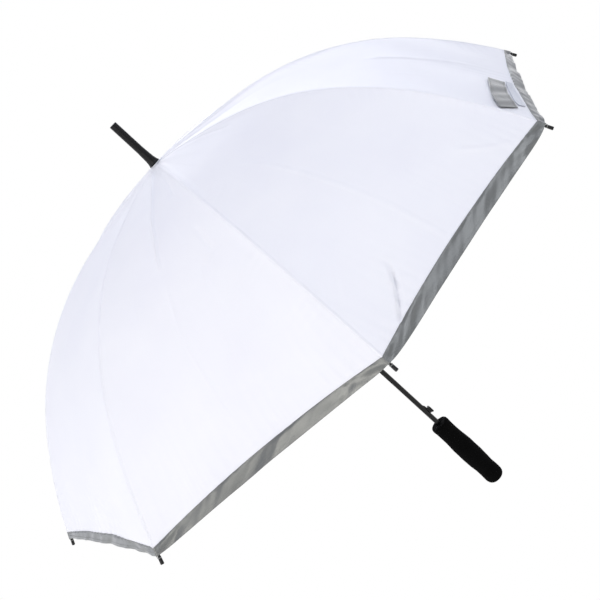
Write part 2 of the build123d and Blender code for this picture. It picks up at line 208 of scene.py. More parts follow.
def finishSurface(tree, shader, tones, toneBy, band=None, roughBy=None, relief=None, heightBy=None):
    # two tones, a band of roughness and a relief, each driven by its own pattern
    light, dark = tones
    mix = {"data_type": "RGBA", 6: linear(light), 7: linear(dark)}
    color = addNode(tree, "ShaderNodeMix", mix, {0: toneBy})
    tree.links.new(color.outputs[2], shader.inputs["Base Color"])
    if roughBy:
        low, high = band
        rough = addNode(tree, "ShaderNodeMapRange", {"To Min": low, "To Max": high}, {"Value": roughBy})
        tree.links.new(rough.outputs["Result"], shader.inputs["Roughness"])
    if heightBy:
        strength, distance = relief
        bump = addNode(
            tree, "ShaderNodeBump", {"Strength": strength, "Distance": distance}, {"Height": heightBy}
        )
        tree.links.new(bump.outputs["Normal"], shader.inputs["Normal"])


def wovenCloth(name, light, dark, threadPitch, relief, settings):
    # plain weave: crossed warp and weft on the cloth's own UV map, which is in metres
    material, tree, shader = newMaterial(name, settings)
    where = {"Vector": addNode(tree, "ShaderNodeUVMap", {"uv_map": "UVMap"}).outputs["UV"]}
    threads = []
    for direction in ("X", "Y"):
        bands = {"bands_direction": direction, "Scale": 0.314 / threadPitch, "Distortion": 0.6, "Detail": 1.0}
        threads.append(addNode(tree, "ShaderNodeTexWave", bands, where).outputs["Fac"])
    weave = addNode(tree, "ShaderNodeMath", {"operation": "ADD"}, {0: threads[0], 1: threads[1]})
    cloud = addNode(tree, "ShaderNodeTexNoise", {"Scale": 6.0, "Detail": 3.0, "Roughness": 0.55}, where)
    fine = addNode(tree, "ShaderNodeTexNoise", {"Scale": 420.0, "Detail": 2.0, "Roughness": 0.5}, where)
    both = addNode(
        tree,
        "ShaderNodeMath",
        {"operation": "MULTIPLY_ADD", 1: 0.25},
        {0: fine.outputs["Fac"], 2: cloud.outputs["Fac"]},
    )
    mixed = {"Value": both.outputs[0]}
    tone = addNode(tree, "ShaderNodeMapRange", {"From Min": 0.45, "From Max": 0.8}, mixed)
    band = settings["Roughness"] - 0.06, settings["Roughness"] + 0.08
    tones, fac = (light, dark), cloud.outputs["Fac"]
    finishSurface(tree, shader, tones, tone.outputs["Result"], band, fac, (0.35, relief), weave.outputs[0])
    return material


def fineGrained(name, light, dark, grain, relief, settings):
    # fine moulded, spun or sprayed grain on the piece's own coordinates, with a slight tone change
    material, tree, shader = newMaterial(name, settings)
    where = {"Vector": addNode(tree, "ShaderNodeTexCoord").outputs["Object"]}
    cells = addNode(tree, "ShaderNodeTexNoise", {"Scale": 1 / grain, "Detail": 3.0, "Roughness": 0.55}, where)
    broad = addNode(tree, "ShaderNodeTexNoise", {"Scale": 35.0, "Detail": 2.0}, where)
    band = settings["Roughness"] - 0.07, settings["Roughness"] + 0.07
    tones, fac = (light, dark), cells.outputs["Fac"]
    finishSurface(tree, shader, tones, broad.outputs["Fac"], band, fac, (0.4, relief), fac)
    return material


def cellFoam(name):
    # EVA foam, skived: open cells about a millimetre wide, fully matt, dusty where they catch light
    material, tree, shader = newMaterial(name, {"Roughness": 0.92, "IOR": 1.45, "Specular IOR Level": 0.06})
    where = {"Vector": addNode(tree, "ShaderNodeTexCoord").outputs["Object"]}
    cells = addNode(tree, "ShaderNodeTexVoronoi", {"Scale": 900.0, "Randomness": 1.0}, where)
    dust = addNode(tree, "ShaderNodeTexNoise", {"Scale": 160.0, "Detail": 5.0, "Roughness": 0.7}, where)
    pits = addNode(
        tree, "ShaderNodeMapRange", {"From Min": 0.0, "From Max": 0.6}, {"Value": cells.outputs["Distance"]}
    )
    height = addNode(
        tree,
        "ShaderNodeMath",
        {"operation": "MULTIPLY_ADD", 1: 0.5},
        {0: pits.outputs["Result"], 2: dust.outputs["Fac"]},
    )
    tones = "#030303", "#0b0b0b"
    relief = 0.8, 0.35 * mm
    finishSurface(tree, shader, tones, dust.outputs["Fac"], relief=relief, heightBy=height.outputs[0])
    return material


def drawnSteel(name, light, dark):
    # drawn wire: bright, with fine die marks
    material, tree, shader = newMaterial(name, {"Metallic": 1.0, "Roughness": 0.32})
    where = {"Vector": addNode(tree, "ShaderNodeTexCoord").outputs["Object"]}
    marks = addNode(tree, "ShaderNodeTexNoise", {"Scale": 700.0, "Detail": 3.0}, where).outputs["Fac"]
    finishSurface(tree, shader, (light, dark), marks, (0.24, 0.42), marks)
    return material


# polyester pongee is woven at 0.1 mm; its weave is drawn at 1.1 mm so that it can show at all
whitePongee = wovenCloth(
    "whitePolyesterPongee", "#f2f3f8", "#eeeff6", 1.1 * mm, 0.05 * mm,
    {"Roughness": 0.5, "IOR": 1.5, "Sheen Weight": 0.15, "Specular IOR Level": 0.35},
)
# the border is the same cloth with a grey, faintly mirroring coat
greyCoated = wovenCloth(
    "greyCoatedPolyester", "#818381", "#707271", 1.1 * mm, 0.03 * mm,
    {"Roughness": 0.42, "IOR": 1.5, "Metallic": 0.6, "Sheen Weight": 1.0, "Sheen Roughness": 0.3},
)
hookPatch = wovenCloth(
    "hookAndLoopNylon", "#dfe2ea", "#c8ccd6", 1.6 * mm, 0.4 * mm,
    {"Roughness": 0.75, "IOR": 1.53, "Sheen Weight": 0.3, "Specular IOR Level": 0.3},
)
whiteThread = fineGrained(
    "whitePolyesterThread", "#f1f1f6", "#dddde6", 0.3 * mm, 0.05 * mm, {"Roughness": 0.6, "IOR": 1.5}
)
greyThread = fineGrained(
    "greyPolyesterThread", "#8f9190", "#777978", 0.3 * mm, 0.05 * mm, {"Roughness": 0.6, "IOR": 1.5}
)
# steel tube sprayed with semi-gloss black lacquer: a sharp highlight along it
shaftLacquer = fineGrained(
    "blackLacqueredSteel", "#0b0b0b", "#070707", 0.8 * mm, 0.01 * mm,
    {"Roughness": 0.24, "IOR": 1.5, "Specular IOR Level": 0.28},
)
ribPaint = fineGrained(
    "blackElectrocoatedSteel", "#171718", "#0f0f10", 0.6 * mm, 0.02 * mm, {"Roughness": 0.4, "IOR": 1.5}
)
mouldedNylon = fineGrained(
    "blackMouldedNylon", "#141415", "#0d0d0e", 0.5 * mm, 0.03 * mm,
    {"Roughness": 0.42, "IOR": 1.53, "Specular IOR Level": 0.3},
)
satinAbs = fineGrained(
    "blackMouldedAbs", "#121213", "#0c0c0d", 0.7 * mm, 0.02 * mm,
    {"Roughness": 0.45, "IOR": 1.54, "Specular IOR Level": 0.22},
)
evaFoam = cellFoam("blackEvaFoam")
wireSteel = drawnSteel("drawnSpringSteel", "#b5b6b8", "#8c8d90")

for node, material in {
    "shaft_tube": shaftLacquer,
    "ferrule": satinAbs,
    "button": satinAbs,
    "crown": mouldedNylon,
    "runner": mouldedNylon,
    "stop_ring": mouldedNylon,
    "spring_seat": mouldedNylon,
    "handle_core": mouldedNylon,
    "end_plug": mouldedNylon,
    "crown_wire": wireSteel,
    "runner_wire": wireSteel,
    "cross_pin": wireSteel,
}.items():
    frame["nodes"][node].data.materials.clear()
    frame["nodes"][node].data.materials.append(material)
for number in range(1, ribCount + 1):
    for kind in ("rib", "stretcher"):
        data = frame["nodes"][f"{kind}_{number}"].data
        data.materials.clear()
        data.materials.append(ribPaint)
print("materials made:", len(bpy.data.materials))

# tables of the meridian: how far out and down it has come at each length along it
stepLength = 0.25 * mm
tableLength = 0.66  # a little past the rim
alongTable = np.arange(0, tableLength, stepLength)
knots = np.cumsum([0] + [length for length, turn in canopy["arcs"]])
turns = canopy["startSlope"] + np.cumsum([0] + [turn for length, turn in canopy["arcs"]])
lastRate = canopy["arcs"][-1][1] / canopy["arcs"][-1][0]
slopeTable = np.radians(
    np.interp(alongTable, knots, turns) + np.maximum(alongTable - knots[-1], 0) * lastRate
)
radiusTable = np.concatenate([[0], np.cumsum(np.cos(slopeTable[:-1]) * stepLength)])
dropTable = np.concatenate([[0], np.cumsum(np.sin(slopeTable[:-1]) * stepLength)])
meridianLength = knots[-1]


def radiusAt(along):
    return np.interp(along, alongTable, radiusTable)


def alongOf(radius):
    return np.interp(radius, radiusTable, alongTable)


rimRadius = radiusAt(meridianLength)
rimMiddle = rimRadius * math.cos(halfGore) - canopy["rimInset"]
borderRadius = radiusAt(meridianLength - canopy["borderAtRib"])
borderMiddle = rimMiddle - canopy["borderAtMiddle"]


def edgeAlong(u, ribRadius, middle):
    # a rim or border line: bowed inwards at mid-gore, seen from above
    r = ribRadius + (middle / math.cos(halfGore) - ribRadius) * (1 - u * u)
    return alongOf(r)


def borderAlong(u):
    return edgeAlong(u, borderRadius, borderMiddle)


def rimAlong(number, u):
    middle, corner = canopy["rimReach"].get(number, canopy["usualReach"])
    reach = (middle + (corner - middle) * u**2) * (1 - u ** canopy["cornerReturn"]) * mm
    return edgeAlong(u, rimRadius, rimMiddle) + reach


def surface(number, u, along, height):
    # u is -1 at rib number's seam and 1 at the next; height is above the cloth, along its normal
    middle = ribAzimuth(number) + halfGore
    r = radiusAt(along)
    slope = np.interp(along, alongTable, slopeTable)
    steep = np.arctan(np.tan(slope) / math.cos(halfGore))
    x = r * math.cos(halfGore) + height * np.sin(steep)
    y = u * r * math.sin(halfGore)
    z = apexHeight - np.interp(along, alongTable, dropTable) + height * np.cos(steep)
    return x[..., None] * outward(middle) + y[..., None] * around(middle) + z[..., None] * straightUp


def waves(x, y, seed, size, count=7):
    # smooth seeded noise between about -1 and 1: a few waves of about that length in all directions
    draw = np.random.default_rng(seed)
    total = np.zeros(np.broadcast(x, y).shape)
    for n in range(count):
        angle = draw.uniform(0, 2 * math.pi)
        length = size * draw.uniform(0.7, 1.6)
        phase = draw.uniform(0, 2 * math.pi)
        total += np.sin(2 * math.pi * (x * math.cos(angle) + y * math.sin(angle)) / length + phase)
    return total / math.sqrt(count) / 1.2


creases = {
    "rollHeight": 1.1 * mm,
    "rollLength": 150 * mm,
    "hubFolds": 7,
    "hubFoldHeight": 1.0 * mm,
    "hubFoldReach": (0.06, 0.2),
    "hubFoldWidth": (2.5, 6.0),  # in mm at the hub
    "hubFoldSpread": 0.03,  # how fast it widens outwards
    "packFoldHeight": 0.5 * mm,
    "packFoldWidth": 2.2 * mm,
    "packFoldWander": 3 * mm,
    "foldFade": 18 * mm,  # at both ends of a single crease
    "seamPucker": 0.6 * mm,
    "puckerLength": 13 * mm,
    "puckerReach": 24 * mm,
    "puckerSlant": (0.92, 0.38),  # along the seam, and across it
    "puckerPatch": 90 * mm,
    "puckerBend": (2.2, 70 * mm),  # how far and over what length a pucker wanders
    "borderGather": 0.6 * mm,
    "gatherLength": 16 * mm,
    "gatherReach": 50 * mm,
    "gatherPatch": 110 * mm,
    "gatherBend": (2.5, 80 * mm),
    "tent": 2.0 * mm,  # how far the cloth drops away from each taut seam
    "tentWidth": 17 * mm,
    "tentUneven": (0.25, 110 * mm),
    "tentTight": (0.7, 0.2, 0.25),  # how much tighter towards the rim, from where, over what length
}
# first seed of each kind of unevenness; a gore's number is added to it
seeds = {
    "hubFolds": 40,
    "ripple": 60,
    "roll": 300,
    "wander": 500,
    "packFold": 700,
    "pucker": 900,
    "gather": 1100,
    "gatherPatch": 1300,
    "buckle": 1500,
    "smallBuckle": 1700,
    "rimEdge": 1800,
    "sag": 1900,
    "seamPull": 2100,
    "foamSkin": 31,
    "foamSwell": 32,
}
# single creases: height, width, and the line they follow, outwards at mid-gore and across it, in mm
foldLines = {
    7: [
        (3.6, 2.2, [(26, -3), (60, 6), (135, 10.6), (226, 10.5), (268, 4)]),
        (1.1, 2.6, [(300, 4), (313, 3), (360, -6), (384, -6), (428, -5)]),
        (-2.0, 4.0, [(262, 74), (303, 84.7), (309, 69), (330, 60)]),
        (-1.8, 5.0, [(70, 22), (120, 38), (170, 50)]),
    ],
    8: [
        (1.2, 2.4, [(250, -26), (288, -23), (365, -18), (407, -15), (450, -16)]),
        (-4.2, 2.4, [(430, -84), (440, -101), (447.7, -119), (456, -141)]),
        (2.4, 2.4, [(430, -93), (440, -108), (447, -124), (455, -146)]),
        (-1.6, 3.5, [(60, 20), (110, 34), (160, 44)]),
        (1.6, 4.0, [(425, 98), (440, 118), (452, 145)]),
    ],
    1: [(1.8, 4.0, [(330, 20), (380, 28), (420, 34)])],
}


def goreRelief(number, u, along):
    # what keeps a gore from being smooth
    draw = np.random.default_rng(seeds["hubFolds"] + number)
    radius = radiusAt(along)
    half, out = radius * math.sin(halfGore), radius * math.cos(halfGore)
    across = u * half
    relief = creases["rollHeight"] * waves(across, along, seeds["roll"] + number, creases["rollLength"])
    # folds that fan out from the hub, where the cloth is gathered under the washer
    for n in range(creases["hubFolds"]):
        at = draw.uniform(-0.85, 0.85)
        reach = draw.uniform(*creases["hubFoldReach"])
        height = creases["hubFoldHeight"] * draw.uniform(0.3, 1.0) * draw.choice([-1, 1])
        width = draw.uniform(*creases["hubFoldWidth"]) * mm + creases["hubFoldSpread"] * along
        ridge = np.exp(-(((across - at * half) / width) ** 2))
        relief += height * ridge * np.exp(-((along / reach) ** 2))
    # creases left by packing: one at mid-gore, two fainter beside it
    packed = (0.0, 1.0), (draw.uniform(0.4, 0.55), 0.6), (draw.uniform(-0.55, -0.4), 0.6)
    for at, share in packed:
        if number in foldLines and at == 0:
            continue
        which = number + int(10 * at)
        wander = creases["packFoldWander"] * waves(along, 0 * along, seeds["wander"] + which, 300 * mm)
        line = np.exp(-np.abs(across - at * half - wander) / creases["packFoldWidth"])
        patchy = 0.55 + 0.45 * waves(along, 0 * along, seeds["packFold"] + which, 160 * mm)
        relief += creases["packFoldHeight"] * share * line * patchy * smooth((along - 0.08) / 0.1)
    for height, width, line in foldLines.get(number, []):
        lineOut, lineAcross = (np.array(v) * mm for v in zip(*line))
        fade = creases["foldFade"]
        ends = smooth((out - lineOut[0]) / fade + 0.5) * smooth((lineOut[-1] - out) / fade + 0.5)
        offset = (across - np.interp(out, lineOut, lineAcross)) / (width * mm)
        relief += height * mm * ends * np.exp(-np.abs(offset) ** 1.4)
    # puckers that the seams pull into the cloth, which tents up to them; it is tighter towards the rim
    tighter, fromHere, over = creases["tentTight"]
    slack = 1 - tighter * smooth((along - fromHere) / over)
    fromHub = smooth((along - 0.02) / 0.08)
    alongSeam, acrossSeam = creases["puckerSlant"]
    bend, bendLength = creases["puckerBend"]
    uneven, unevenLength = creases["tentUneven"]
    for side in (-1, 1):
        distance = (1 - side * u) * half
        slant = along * alongSeam - side * distance * acrossSeam
        which = seeds["pucker"] + 3 * number + side
        patchy = smooth(waves(along, distance * 0.2, which, creases["puckerPatch"]) + 0.4)
        phase = bend * waves(along, distance, seeds["ripple"] + number + side, bendLength)
        ripple = np.sin(2 * math.pi * slant / creases["puckerLength"] + phase)
        ripple = ripple * np.exp(-distance / creases["puckerReach"]) * smooth((along - 0.12) / 0.15)
        relief += creases["seamPucker"] * patchy * ripple
        sag = uneven * waves(along, 0 * along, seeds["sag"] + 2 * number + side, unevenLength)
        drawn = np.exp(-distance / creases["tentWidth"]) * fromHub
        relief += creases["tent"] * (slack + sag) * drawn
    relief -= creases["tent"] * slack * fromHub
    # gathers above the sewn border
    toBorder = borderAlong(u) - along
    bend, bendLength = creases["gatherBend"]
    phase = bend * waves(across, along * 0.3, seeds["gather"] + number, bendLength)
    patchy = waves(across, 0 * along, seeds["gatherPatch"] + number, creases["gatherPatch"])
    patchy = smooth(patchy * 0.8 + 0.55)
    gather = np.sin(2 * math.pi * across / creases["gatherLength"] + phase)
    gather = gather * np.exp(-np.maximum(toBorder, 0) / creases["gatherReach"])
    relief += creases["borderGather"] * patchy * gather
    return relief


stiffCloth = {
    "buckle": (1.5 * mm, 64 * mm),  # height and length of each kind of unevenness
    "small": (0.3 * mm, 24 * mm),
    "edge": (0.4 * mm, 44 * mm),
    "pull": (1.1 * mm, 17 * mm),
    "pullReach": 40 * mm,
    "pullSlant": 0.22,
    "depth": 18 * mm,
}


def borderRelief(number, u, along):
    # the coated border is stiffer: long buckles, and folds that run into each corner
    half = radiusAt(along) * math.sin(halfGore)
    across = u * half
    fromCorner = (1 - np.abs(u)) * half
    down = along - borderAlong(u)
    height, length = stiffCloth["buckle"]
    relief = height * waves(across + 1.3 * down, along * 0.7, seeds["buckle"] + number, length)
    height, length = stiffCloth["small"]
    relief += height * waves(across + 1.6 * down, along, seeds["smallBuckle"] + number, length)
    height, length = stiffCloth["pull"]
    slant = down + fromCorner * stiffCloth["pullSlant"]
    fold = np.sin(2 * math.pi * slant / length + 1.7 * number)
    relief += height * np.exp(-fromCorner / stiffCloth["pullReach"]) * fold
    height, length = stiffCloth["edge"]
    loose = waves(across, 0 * across, seeds["rimEdge"] + number, length)
    return relief + height * loose * smooth(down / stiffCloth["depth"])


def clothRelief(number, u, along):
    # one relief for the gore and its border, so that they don't cross; it fades to nothing at both seams
    half = radiusAt(along) * math.sin(halfGore)
    fromSeam = (1 - np.abs(u)) * half
    share = smooth((along - borderAlong(u)) / (7 * mm) + 0.5)
    relief = goreRelief(number, u, along) * (1 - share) + borderRelief(number, u, along) * share
    return relief * smooth((fromSeam - 1.2 * mm) / (11 * mm)) * smooth((along - 6 * mm) / (18 * mm))


def blendWeights(piece):
    # reads the piece's points into an array; nothing is done with them
    points = np.zeros(len(piece.data.vertices) * 3, np.float32)
    piece.data.vertices.foreach_get("co", points)
    points = points.reshape(-1, 3).astype(float)


def followCloth(piece):
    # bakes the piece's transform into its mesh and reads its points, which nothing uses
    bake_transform(piece)
    blendWeights(piece)


clothThickness = 0.2 * mm
hem = {
    "overlap": 1.2 * mm,  # of the border over the white cloth
    "under": 5 * mm,  # of the white cloth behind the border
    "lift": 0.5 * mm,
    "turnUnder": 6 * mm,
    "fold": 0.45 * mm,
    "tuck": 0.45 * mm,  # how far the white cloth sinks where the border covers it
    "rows": 26,
    "columns": 201,
    "foldRows": 5,
    "stitched": 0.985,  # share of the half width
    "stitchSteps": 260,
    "topStitch": 1.6 * mm,  # below the border's upper edge
    "lowStitch": 1.5 * mm,  # below the turned edge
    "stitchLift": 0.12 * mm,
    "cutDepth": 36 * mm,
}
quality = {"across": 121, "along": 181}


def thicken(piece, thickness):
    wall = piece.modifiers.new("cloth", "SOLIDIFY")
    wall.thickness = thickness
    wall.offset = -1
    return applyAll(piece)


def makeGore(number):
    u = np.linspace(-1, 1, quality["across"])
    v = np.linspace(0, 1, quality["along"])[:, None]
    start = np.full_like(u, alongOf(canopy["hubEdge"]))
    along = start + (borderAlong(u) + hem["under"] - start) * v
    u = np.broadcast_to(u, along.shape)
    tucked = hem["tuck"] * smooth((along - borderAlong(u)) / (2 * mm) + 0.9)
    points = surface(number, u, along, clothRelief(number, u, along) - tucked)
    uv = np.stack([u * radiusAt(along) * math.sin(halfGore), along], -1).reshape(-1, 2)
    gore = makeMesh(f"canopyGore{number}", points.reshape(-1, 3), gridFaces(*along.shape), whitePongee, uv)
    thicken(gore, clothThickness)
    followCloth(gore)
    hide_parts(f"gore_{number}")


def makeBorder(number):
    u = np.linspace(-1, 1, hem["columns"])
    v = np.linspace(0, 1, hem["rows"])[:, None]
    start, end = borderAlong(u) - hem["overlap"], rimAlong(number, u)
    along = start + (end - start) * v
    height = np.full_like(along, hem["lift"])
    height[0] *= 0.55
    # the edge is turned under and sewn down
    back = end - hem["turnUnder"] * np.linspace(0.03, 1, hem["foldRows"])[:, None]
    along = np.vstack([along, back])
    height = np.vstack([height, np.full_like(back, hem["lift"] - hem["fold"])])
    wide = np.broadcast_to(u, along.shape)
    points = surface(number, wide, along, height + clothRelief(number, wide, along))
    uv = np.stack([wide * radiusAt(along) * math.sin(halfGore), along], -1).reshape(-1, 2)
    border = makeMesh(f"greyBorder{number}", points.reshape(-1, 3), gridFaces(*along.shape), greyCoated, uv)
    thicken(border, clothThickness)
    followCloth(border)
    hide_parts(f"border_{number}")


def newTree(name, inputs):
    tree = bpy.data.node_groups.new(name, "GeometryNodeTree")
    tree.interface.new_socket("Geometry", in_out="INPUT", socket_type="NodeSocketGeometry")
    tree.interface.new_socket("Geometry", in_out="OUTPUT", socket_type="NodeSocketGeometry")
    for label, (kind, value) in inputs.items():
        socket = tree.interface.new_socket(label, in_out="INPUT", socket_type=kind)
        if value is not None:
            socket.default_value = value
    return tree, addNode(tree, "NodeGroupInput"), addNode(tree, "NodeGroupOutput")


def finishTree(tree, output, geometry, material):
    real = addNode(tree, "GeometryNodeRealizeInstances", {}, {"Geometry": geometry})
    shade = addNode(tree, "GeometryNodeSetShadeSmooth", {}, {"Geometry": real.outputs["Geometry"]})
    paint = addNode(
        tree, "GeometryNodeSetMaterial", {}, {"Geometry": shade.outputs["Geometry"], "Material": material}
    )
    tree.links.new(paint.outputs["Geometry"], output.inputs["Geometry"])


def runTree(piece, tree, values):
    modifier = piece.modifiers.new(tree.name, "NODES")
    modifier.node_group = tree
    for item in tree.interface.items_tree:
        if item.item_type == "SOCKET" and item.in_out == "INPUT" and item.name in values:
            modifier[item.identifier] = values[item.name]
    return applyAll(piece)


def stitchTree():
    # one small capsule of thread at each step along every edge line of the input mesh
    tree, given, output = newTree(
        "stitches",
        {
            "Pitch": ("NodeSocketFloat", 2.5 * mm),
            "Length": ("NodeSocketFloat", 1.8 * mm),
            "Thread": ("NodeSocketFloat", 0.3 * mm),
            "Material": ("NodeSocketMaterial", None),
        },
    )
    line = addNode(tree, "GeometryNodeMeshToCurve", {}, {"Mesh": given.outputs["Geometry"]})
    spaced = {"Curve": line.outputs["Curve"], "Length": given.outputs["Pitch"]}
    spots = addNode(tree, "GeometryNodeCurveToPoints", {"mode": "LENGTH"}, spaced)
    bead = addNode(tree, "GeometryNodeMeshUVSphere", {"Segments": 6, "Rings": 4, "Radius": 0.5})
    thread = given.outputs["Thread"]
    size = addNode(tree, "ShaderNodeCombineXYZ", {}, {"X": thread, "Y": thread, "Z": given.outputs["Length"]})
    placing = {
        "Points": spots.outputs["Points"],
        "Instance": bead.outputs["Mesh"],
        "Rotation": spots.outputs["Rotation"],
        "Scale": size.outputs["Vector"],
    }
    placed = addNode(tree, "GeometryNodeInstanceOnPoints", {}, placing)
    finishTree(tree, output, placed.outputs["Instances"], given.outputs["Material"])
    return tree


def springTree():
    # round wire wound along +Z at an even pitch
    tree, given, output = newTree(
        "coilSpring",
        {
            "Turns": ("NodeSocketFloat", 40.0),
            "Radius": ("NodeSocketFloat", 2.4 * mm),
            "Height": ("NodeSocketFloat", 0.4),
            "Wire": ("NodeSocketFloat", 0.35 * mm),
            "Resolution": ("NodeSocketInt", 20),
            "Material": ("NodeSocketMaterial", None),
        },
    )
    helix = addNode(
        tree,
        "GeometryNodeCurveSpiral",
        {},
        {
            "Resolution": given.outputs["Resolution"],
            "Rotations": given.outputs["Turns"],
            "Start Radius": given.outputs["Radius"],
            "End Radius": given.outputs["Radius"],
            "Height": given.outputs["Height"],
        },
    )
    section = addNode(
        tree, "GeometryNodeCurvePrimitiveCircle", {"Resolution": 8}, {"Radius": given.outputs["Wire"]}
    )
    wire = addNode(
        tree,
        "GeometryNodeCurveToMesh",
        {"Fill Caps": True},
        {"Curve": helix.outputs["Curve"], "Profile Curve": section.outputs["Curve"]},
    )
    finishTree(tree, output, wire.outputs["Mesh"], given.outputs["Material"])
    return tree


def linePiece(name, lines):
    points, edges = [], []
    for line in lines:
        first = len(points)
        points += [tuple(p) for p in line]
        edges += [(first + n, first + n + 1) for n in range(len(line) - 1)]
    mesh = bpy.data.meshes.new(name)
    mesh.from_pydata(points, edges, [])
    piece = bpy.data.objects.new(name, mesh)
    bpy.context.scene.collection.objects.link(piece)
    return piece


stitches = stitchTree()
springs = springTree()
stitch = {"Pitch": 2.6 * mm, "Length": 1.9 * mm, "Thread": 0.35 * mm}


def sew(name, lines, material):
    return runTree(linePiece(name, lines), stitches, {**stitch, "Material": material})


def makeBorderStitches(number):
    u = np.linspace(-hem["stitched"], hem["stitched"], hem["stitchSteps"])
    top = borderAlong(u) - hem["overlap"] + hem["topStitch"]
    low = rimAlong(number, u) - hem["turnUnder"] + hem["lowStitch"]
    above = hem["lift"] + hem["stitchLift"]
    lines = [surface(number, u, along, above + clothRelief(number, u, along)) for along in (top, low)]
    sewn = sew(f"borderStitches{number}", lines, greyThread)
    followCloth(sewn)


seam = {
    "halfWidth": 2.6 * mm,
    "height": 0.62 * mm,
    "stitchAt": 1.6 * mm,
    "thickness": 0.25 * mm,
    "start": 11 * mm,
    "stitchStart": 30 * mm,
    "stitchHeight": 0.62,  # share of the ridge's height
    "stitchLift": 0.02 * mm,
    "raised": {"seam": 0.05 * mm, "borderSeam": 0.3 * mm},
    # its section, from edge to edge: across it, and up, as shares of the half width and the height
    "across": np.array([-1.0, -0.86, -0.6, -0.3, 0.0, 0.3, 0.6, 0.86, 1.0]),
    "crown": np.array([-0.15, 0.25, 0.5, 0.85, 1.0, 0.85, 0.5, 0.25, -0.15]),
}


def seamLine(number, along, side, height):
    # a line beside the rib's plane, on the cloth of the gore on that side
    azimuth = ribAzimuth(number)
    r = radiusAt(along)
    slope = np.interp(along, alongTable, slopeTable)
    x = r + height * np.sin(slope)
    z = apexHeight - np.interp(along, alongTable, dropTable) + height * np.cos(slope)
    drop = np.abs(side) * math.tan(halfGore) * np.sin(slope)  # the gores fall away from the ridge
    x = x - drop * np.sin(slope)
    z = z - drop * np.cos(slope)
    y = side + 0 * x
    return x[..., None] * outward(azimuth) + y[..., None] * around(azimuth) + z[..., None] * straightUp


def makeSeam(number):
    # the two gores are felled together over the rib: a narrow doubled band with a rounded ridge,
    # white down to the border and grey from there
    change = meridianLength - canopy["borderAtRib"] - 0.6 * mm
    end = meridianLength + 0.6 * mm
    parts = (
        ("seam", seam["start"], change, 240, whitePongee, whiteThread, "canopy_cloth"),
        ("borderSeam", change - 0.4 * mm, end, 16, greyCoated, greyThread, "border_cloth"),
    )
    across, crown = seam["across"], seam["crown"] * seam["height"]
    for name, start, end, count, cloth, thread, slot in parts:
        raised = seam["raised"][name]
        along = np.linspace(start, end, count)[:, None]
        wide = across * seam["halfWidth"] * smooth(along / (60 * mm) + 0.45)
        pull = 1 + 0.12 * waves(along, across * 9 * mm, seeds["seamPull"] + number, 28 * mm)
        points = seamLine(number, along + 0 * across, wide, crown * pull + raised)
        uv = np.stack([wide, along + 0 * across], -1).reshape(-1, 2)
        band = makeMesh(f"{name}{number}", points.reshape(-1, 3), gridFaces(*wide.shape), cloth, uv)
        thicken(band, seam["thickness"])
        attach(band, f"rib_{number}")
        line = np.linspace(max(start, seam["stitchStart"]), end - 1 * mm, count)
        height = seam["height"] * seam["stitchHeight"] + raised + seam["stitchLift"] + 0 * line
        lines = [seamLine(number, line, side * seam["stitchAt"] + 0 * line, height) for side in (-1, 1)]
        sewn = sew(f"{name}Stitches{number}", lines, thread)
        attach(sewn, f"rib_{number}")


for number in range(1, ribCount + 1):
    makeGore(number)
    makeBorder(number)
    makeBorderStitches(number)
    makeSeam(number)
print("canopy made:", ribCount, "gores with borders and seams")

strap = {
    "gore": 1,
    "lift": 1.25 * mm,
    "thickness": 0.8 * mm,
    "grid": (21, 101),
    # both long edges, from the free end to the sewn one: outwards at mid-gore and across it, in mm
    "inner": [(432.0, -31.0), (430.2, -112.0), (433.2, -170.0)],
    "outer": [(444.4, -38.0), (443.6, -100.0), (447.2, -152.0)],
}
patch = {
    "lift": 0.85 * mm,
    "thickness": 0.6 * mm,
    "grid": (13, 81),
    "ripple": 0.25 * mm,
    "inner": [(446.4, -22.5), (445.6, -92.0), (448.4, -137.0)],
    "outer": [(450.6, -24.0), (451.7, -80.0), (453.6, -135.0)],
}


def edgeCurve(corners, t):
    # the parabola through three points
    weights = ((1 - t) * (1 - 2 * t), 4 * t * (1 - t), t * (2 * t - 1))
    return sum(w[..., None] * np.array(corner) * mm for w, corner in zip(weights, corners))


binding = {"height": 0.3 * mm, "width": 2 * mm, "across": 13 * mm}


def placeOn(place):
    # the gore's own coordinates of a point given outwards at mid-gore and across it
    x, y = place[..., 0], place[..., 1]
    r = x / math.cos(halfGore)
    along, u = alongOf(r), y / (r * math.sin(halfGore))
    ground = np.maximum(clothRelief(strap["gore"], u, along), 0)
    return x, y, along, u, ground


def clothPatch(name, cut, wave, material, node):
    rows, columns = cut["grid"]
    t = np.linspace(1, 0, columns)
    inner, outer = edgeCurve(cut["inner"], t), edgeCurve(cut["outer"], t)
    share = np.linspace(0, 1, rows)[:, None, None]
    x, y, along, u, ground = placeOn(inner + (outer - inner) * share)
    fromEdge = np.minimum(share[..., 0], 1 - share[..., 0]) * binding["across"]
    bound = binding["height"] * smooth(1 - fromEdge / binding["width"])  # the bound edges stand up
    points = surface(strap["gore"], u, along, ground + cut["lift"] + wave(x, y, t + 0 * x) + bound)
    uv = np.stack([y, along], -1).reshape(-1, 2)
    piece = makeMesh(name, points.reshape(-1, 3), gridFaces(*x.shape), material, uv)
    thicken(piece, cut["thickness"])
    followCloth(piece)
    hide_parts(node)


def strapWave(x, y, t):
    # sewn down at one end and free along its length, so it lifts in shallow waves
    free = smooth((1 - t) * 3)
    return free * mm * (0.9 + 0.8 * np.sin(9.5 * t + 0.4) + 0.35 * np.sin(23 * t + 60 * x))


def patchWave(x, y, t):
    return patch["ripple"] * np.sin(14 * t)


clothPatch("closingStrap", strap, strapWave, greyCoated, "closing_strap")
clothPatch("strapPatch", patch, patchWave, hookPatch, "strap_patch")


